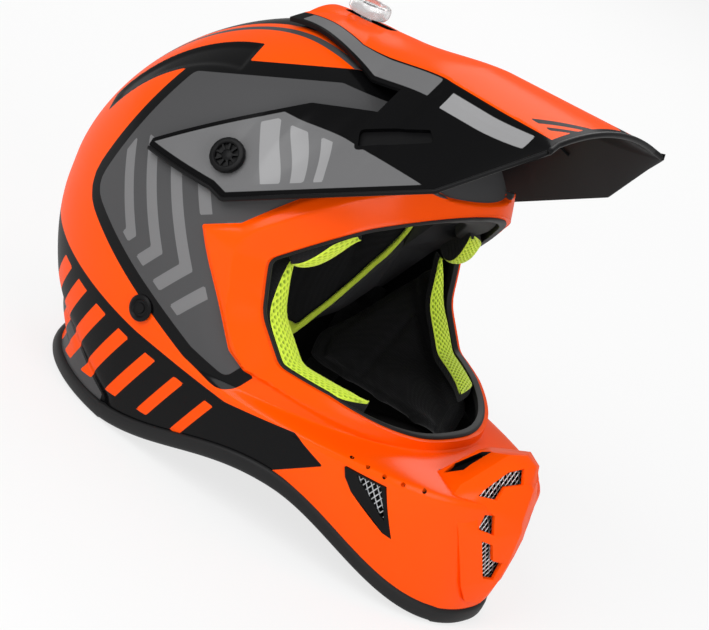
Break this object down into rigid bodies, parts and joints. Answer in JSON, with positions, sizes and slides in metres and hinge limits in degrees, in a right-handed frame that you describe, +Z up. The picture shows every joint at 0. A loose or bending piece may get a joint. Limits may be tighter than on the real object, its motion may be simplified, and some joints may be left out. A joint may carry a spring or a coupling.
{
  "type": "motocross helmet",
  "caption": "Off-road full-face helmet with a long vented chin bar, open eyeport, tilting sun peak, padded liner and double-ring chin strap.",
  "frame": {"origin": "middle of the bounding box, on the table the rim stands on", "axes": "+Z up, the wearer looks along -Y, +X is the wearer's left"},
  "size_m": [0.2424, 0.356, 0.2805],
  "materials": {
    "shell_paint": "gloss clear coat over orange, black and grey paint",
    "peak_plastic": "satin moulded plastic with painted panels",
    "black_rubber": "matt extruded edging",
    "black_plastic": "fine grain moulded plastic",
    "clear_plastic": "clear polished moulding",
    "steel": "bright plated",
    "grey_foam": "moulded bead foam",
    "black_cloth": "brushed and mesh lining cloth over foam",
    "lime_cloth": "open spacer mesh",
    "webbing": "woven strap"
  },
  "bodies": {
    "shell": {"outer_shell": "shell_paint", "mouthpiece": "shell_paint", "rim_trim": "black_rubber", "eyeport_gasket": "black_rubber", "peak_insert_right": "steel", "peak_insert_left": "steel", "peak_insert_centre": "steel", "eps_liner": "grey_foam", "chin_foam": "grey_foam", "crown_pad": "black_cloth", "neck_roll": "black_cloth", "brow_pad": "black_cloth", "cheek_pad_right": "black_cloth", "cheek_pad_left": "black_cloth", "cheek_edge_right": "lime_cloth", "cheek_edge_left": "lime_cloth", "temple_pad_right": "lime_cloth", "temple_pad_left": "lime_cloth", "liner_hem": "lime_cloth", "mouth_mesh": "steel", "side_vent_right": "black_plastic", "side_vent_left": "black_plastic", "side_mesh_right": "steel", "side_mesh_left": "steel", "chin_strap_right": "webbing", "chin_strap_left": "webbing", "ring_loop": "webbing", "strap_rivet_right": "black_plastic", "strap_rivet_left": "black_plastic"},
    "peak": {"peak": "peak_plastic"},
    "knob": {"peak_knob": "clear_plastic"},
    "screw_right": {"peak_screw_right": "black_plastic"},
    "screw_left": {"peak_screw_left": "black_plastic"},
    "ring_upper": {"d_ring_upper": "steel"},
    "ring_lower": {"d_ring_lower": "steel"}
  },
  "joints": [
    {"name": "peak_tilt", "type": "hinge", "parent": "shell", "child": "peak", "pos_m": [0, 0.03256, 0.17724], "axis": [-1, 0, 0], "range_deg": [-3, 5]},
    {"name": "knob_turn", "type": "hinge", "parent": "shell", "child": "knob", "pos_m": [0, 0.06246, 0.25667], "axis": [0, 0.0854, 0.9963], "continuous": true},
    {"name": "screw_turn_right", "type": "hinge", "parent": "shell", "child": "screw_right", "pos_m": [-0.11256, 0.03256, 0.17724], "axis": [-0.9129, -0.0649, 0.403], "continuous": true},
    {"name": "screw_turn_left", "type": "hinge", "parent": "shell", "child": "screw_left", "pos_m": [0.11256, 0.03256, 0.17724], "axis": [0.9129, -0.0649, 0.403], "continuous": true},
    {"name": "ring_swing_upper", "type": "hinge", "parent": "shell", "child": "ring_upper", "pos_m": [0.0472, 0.0309, 0.01739], "axis": [0, 0.9963, -0.0854], "range_deg": [-15, 30]},
    {"name": "ring_swing_lower", "type": "hinge", "parent": "shell", "child": "ring_lower", "pos_m": [0.0472, 0.03046, 0.01221], "axis": [0, 0.9963, -0.0854], "range_deg": [-15, 30]}
  ],
  "couplings": [
    {"joint": "ring_swing_lower", "follows": "ring_swing_upper", "ratio": 1}
  ]
}
